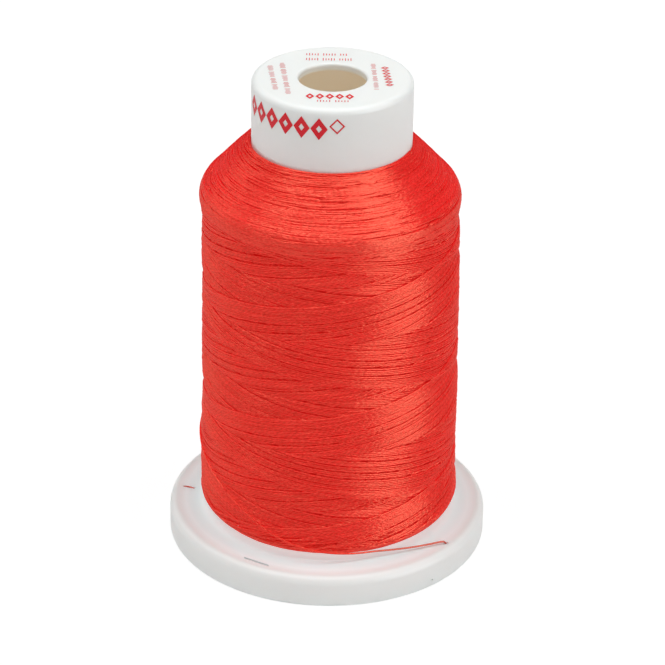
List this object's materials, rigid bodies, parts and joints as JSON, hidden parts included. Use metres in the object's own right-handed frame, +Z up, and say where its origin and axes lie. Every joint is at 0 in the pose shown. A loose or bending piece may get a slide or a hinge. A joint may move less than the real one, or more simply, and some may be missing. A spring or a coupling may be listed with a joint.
{
  "type": "spool of sewing thread",
  "caption": "Upright spool of cross-wound sewing thread on a white moulded core with a flange foot, a bare top and an open pin hole, its free end held in a slit.",
  "frame": {"origin": "middle of the base, on the surface that the spool stands on", "axes": "+Z up along the spool's axis; -Y is the front, where the free end of the thread crosses the flange; +X is to the right of it"},
  "size_m": [0.05, 0.05, 0.0774],
  "materials": {
    "core_plastic": "satin moulded white plastic, slightly translucent, warm inside the bore",
    "thread": "bright red trilobal filament thread with a soft silky sheen"
  },
  "bodies": {
    "root": {"spool_core": "core_plastic", "wound_thread": "thread", "thread_tail": "thread"}
  },
  "joints": []
}
